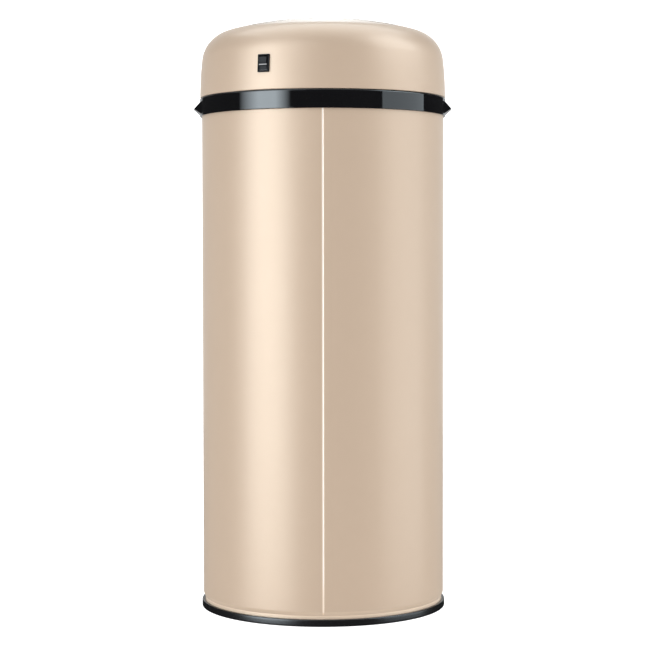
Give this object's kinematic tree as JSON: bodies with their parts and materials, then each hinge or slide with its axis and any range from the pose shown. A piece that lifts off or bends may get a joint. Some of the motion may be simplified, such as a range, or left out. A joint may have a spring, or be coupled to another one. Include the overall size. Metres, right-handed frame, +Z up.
{
  "type": "kitchen trash can",
  "caption": "Tall round automatic kitchen bin: painted steel body, gloss black lift-off bag ring with finger tabs, domed head with a motor-driven flap and a power rocker.",
  "frame": {"origin": "centre of the foot ring's underside, on the floor", "axes": "+Z up, -Y towards the front with the sensor panel, the body's seam and the power rocker face +Y"},
  "size_m": [0.3198, 0.3052, 0.7287],
  "materials": {
    "painted_steel": "satin champagne lacquer",
    "gloss_black": "gloss",
    "matte_black": "fine texture",
    "zinc_steel": "zinc plated",
    "rubber": "matt",
    "gear_white": "acetal",
    "brass": "bare",
    "board_green": "solder mask",
    "cell_wrap": "plain sleeve",
    "dark_window": "infrared tint",
    "led_clear": "clear resin",
    "led_dark": "dark resin",
    "button_grey": "satin",
    "tact_grey": "moulded"
  },
  "bodies": {
    "bin_body": {"base_ring": "gloss_black", "foot_pads": "rubber", "bottom_plate": "zinc_steel", "body_shell": "painted_steel"},
    "bag_ring": {"neck_ring": "gloss_black"},
    "head": {"dome_shell": "painted_steel", "flap_frame": "gloss_black", "flap_bumpers": "rubber", "head_base": "matte_black", "chute": "matte_black", "hinge_bracket_left": "matte_black", "hinge_bracket_right": "matte_black", "hinge_shaft": "zinc_steel", "gearbox_case": "matte_black", "gearbox_cover": "matte_black", "gear_axle": "zinc_steel", "gearbox_screws": "zinc_steel", "motor_can": "zinc_steel", "motor_cap": "matte_black", "motor_tabs": "brass", "battery_case": "matte_black", "battery_cells": "cell_wrap", "battery_contacts": "zinc_steel", "control_board": "board_green", "board_parts": "matte_black", "board_screws": "zinc_steel", "case_screws": "zinc_steel", "control_bezel": "gloss_black", "sensor_window": "dark_window", "button_switches": "tact_grey", "sensor_board": "board_green", "infrared_emitter": "led_clear", "infrared_receiver": "led_dark", "status_light": "led_clear", "switch_body": "gloss_black", "switch_tabs": "brass"},
    "flap": {"flap_skin": "painted_steel", "flap_liner": "matte_black", "flap_screws": "zinc_steel", "sector_gear": "gear_white"},
    "idler": {"idler_gear": "gear_white"},
    "motor_rotor": {"motor_shaft": "zinc_steel", "motor_pinion": "brass"},
    "battery_hatch": {"battery_door": "matte_black"},
    "open_key": {"open_button": "button_grey"},
    "close_key": {"close_button": "button_grey"},
    "power_rocker": {"switch_rocker": "gloss_black"}
  },
  "joints": [
    {"name": "ring_lift", "type": "slide", "parent": "bin_body", "child": "bag_ring", "axis": [0, 0, 1], "range_m": [0, 0.06]},
    {"name": "head_lift", "type": "slide", "parent": "bag_ring", "child": "head", "axis": [0, 0, 1], "range_m": [0, 0.06]},
    {"name": "flap_hinge", "type": "hinge", "parent": "head", "child": "flap", "pos_m": [0, 0.062, 0.7137], "axis": [-1, 0, 0], "range_deg": [0, 80]},
    {"name": "idler_spin", "type": "hinge", "parent": "head", "child": "idler", "pos_m": [0, 0.05824, 0.6779], "axis": [-1, 0, 0], "range_deg": [-402, 2]},
    {"name": "motor_spin", "type": "hinge", "parent": "head", "child": "motor_rotor", "pos_m": [0, 0.07181, 0.66432], "axis": [-1, 0, 0], "range_deg": [-6, 1206]},
    {"name": "rocker_tilt", "type": "hinge", "parent": "head", "child": "power_rocker", "pos_m": [0.06788, 0.13265, 0.66156], "axis": [0.8902, -0.4555, 0], "range_deg": [0, 18]},
    {"name": "open_press", "type": "slide", "parent": "head", "child": "open_key", "axis": [0, 1, 0], "range_m": [0, 0.0008], "stiffness_N_per_m": 300},
    {"name": "close_press", "type": "slide", "parent": "head", "child": "close_key", "axis": [0, 1, 0], "range_m": [0, 0.0008], "stiffness_N_per_m": 300},
    {"name": "battery_hatch_drop", "type": "slide", "parent": "head", "child": "battery_hatch", "axis": [0, 0, -1], "range_m": [0, 0.03]}
  ],
  "couplings": [
    {"joint": "idler_spin", "follows": "flap_hinge", "ratio": -5},
    {"joint": "motor_spin", "follows": "flap_hinge", "ratio": 15}
  ]
}
